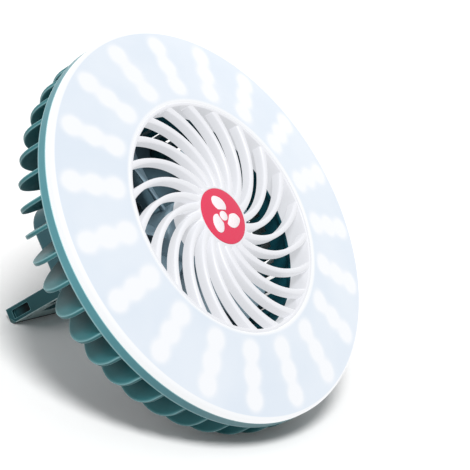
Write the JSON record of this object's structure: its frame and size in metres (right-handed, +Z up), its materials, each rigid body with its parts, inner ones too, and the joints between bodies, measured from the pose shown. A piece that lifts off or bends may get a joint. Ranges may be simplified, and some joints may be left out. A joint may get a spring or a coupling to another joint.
{
  "type": "portable camping fan light",
  "caption": "Round tabletop camping fan in a ring light, with swirled cooling fins, a spiral grille, a battery pod behind and a fold-out stand.",
  "frame": {"origin": "centre of the bounding box's footprint, on the floor that the lowest fins and the stand rest on", "axes": "+Z up; the lit face looks toward -Y and leans back, the stand reaches toward +Y, +X is across the face"},
  "size_m": [0.23, 0.1898, 0.1811],
  "materials": {
    "housing_plastic": "satin",
    "pod_plastic": "satin",
    "plate_plastic": "satin",
    "stand_plastic": "satin",
    "diffuser_plastic": "translucent satin",
    "grille_plastic": "satin",
    "rotor_plastic": "satin",
    "badge_red": "gloss",
    "symbol_white": "gloss",
    "grip_rubber": "matte",
    "gasket_rubber": "matte",
    "button_rubber": "matte",
    "led_board_aluminium": "satin",
    "reflector_white": "satin",
    "led_lens": "glowing",
    "steel_plain": "satin",
    "steel_bright": "bright",
    "magnet_dark": "matte",
    "motor_plastic": "matte",
    "copper_wire": "enamelled",
    "cell_sleeve": "satin",
    "nickel": "bright",
    "board_green": "satin",
    "chip_black": "matte",
    "lens_clear": "clear",
    "washer_nylon": "matte"
  },
  "bodies": {
    "head": {"finned_housing": "housing_plastic", "led_board": "led_board_aluminium", "led_reflector": "reflector_white", "led_chips": "led_lens", "light_diffuser": "diffuser_plastic", "rim_gasket": "gasket_rubber", "front_grille": "grille_plastic", "hub_badge": "badge_red", "badge_symbol": "symbol_white", "front_bearing": "steel_bright", "rear_bearing": "steel_bright", "bearing_tube": "motor_plastic", "stator_core": "steel_plain", "stator_coils": "copper_wire", "motor_screws": "steel_plain", "motor_plate": "plate_plastic", "plate_screws": "steel_plain", "rear_pod": "pod_plastic", "pod_screws": "steel_plain", "battery_cells": "cell_sleeve", "cell_contacts": "nickel", "cell_cradle": "motor_plastic", "main_board": "board_green", "board_chips": "chip_black", "usb_c_socket": "steel_bright", "tact_switches": "chip_black", "charge_lenses": "lens_clear", "hinge_pin": "steel_bright", "hinge_washers": "washer_nylon"},
    "rotor": {"fan_rotor": "rotor_plastic", "motor_can": "steel_plain", "rotor_magnet": "magnet_dark", "motor_shaft": "steel_bright", "shaft_clip": "steel_bright"},
    "stand": {"stand_bail": "stand_plastic", "foot_grip": "grip_rubber"},
    "fan_push": {"fan_button": "button_rubber"},
    "light_push": {"light_button": "button_rubber"}
  },
  "joints": [
    {"name": "fan_spin", "type": "hinge", "parent": "head", "child": "rotor", "pos_m": [0, 0.00442, 0.08284], "axis": [0, -0.7009, 0.7133], "continuous": true},
    {"name": "stand_fold", "type": "hinge", "parent": "head", "child": "stand", "pos_m": [0, 0.04283, 0.05188], "axis": [1, 0, 0], "range_deg": [-90, 0]},
    {"name": "fan_button_press", "type": "slide", "parent": "head", "child": "fan_push", "axis": [0, -0.7133, -0.7009], "range_m": [0, 0.0009], "stiffness_N_per_m": 1500, "springref_m": -0.0004},
    {"name": "light_button_press", "type": "slide", "parent": "head", "child": "light_push", "axis": [0, -0.7133, -0.7009], "range_m": [0, 0.0009], "stiffness_N_per_m": 1500, "springref_m": -0.0004}
  ]
}
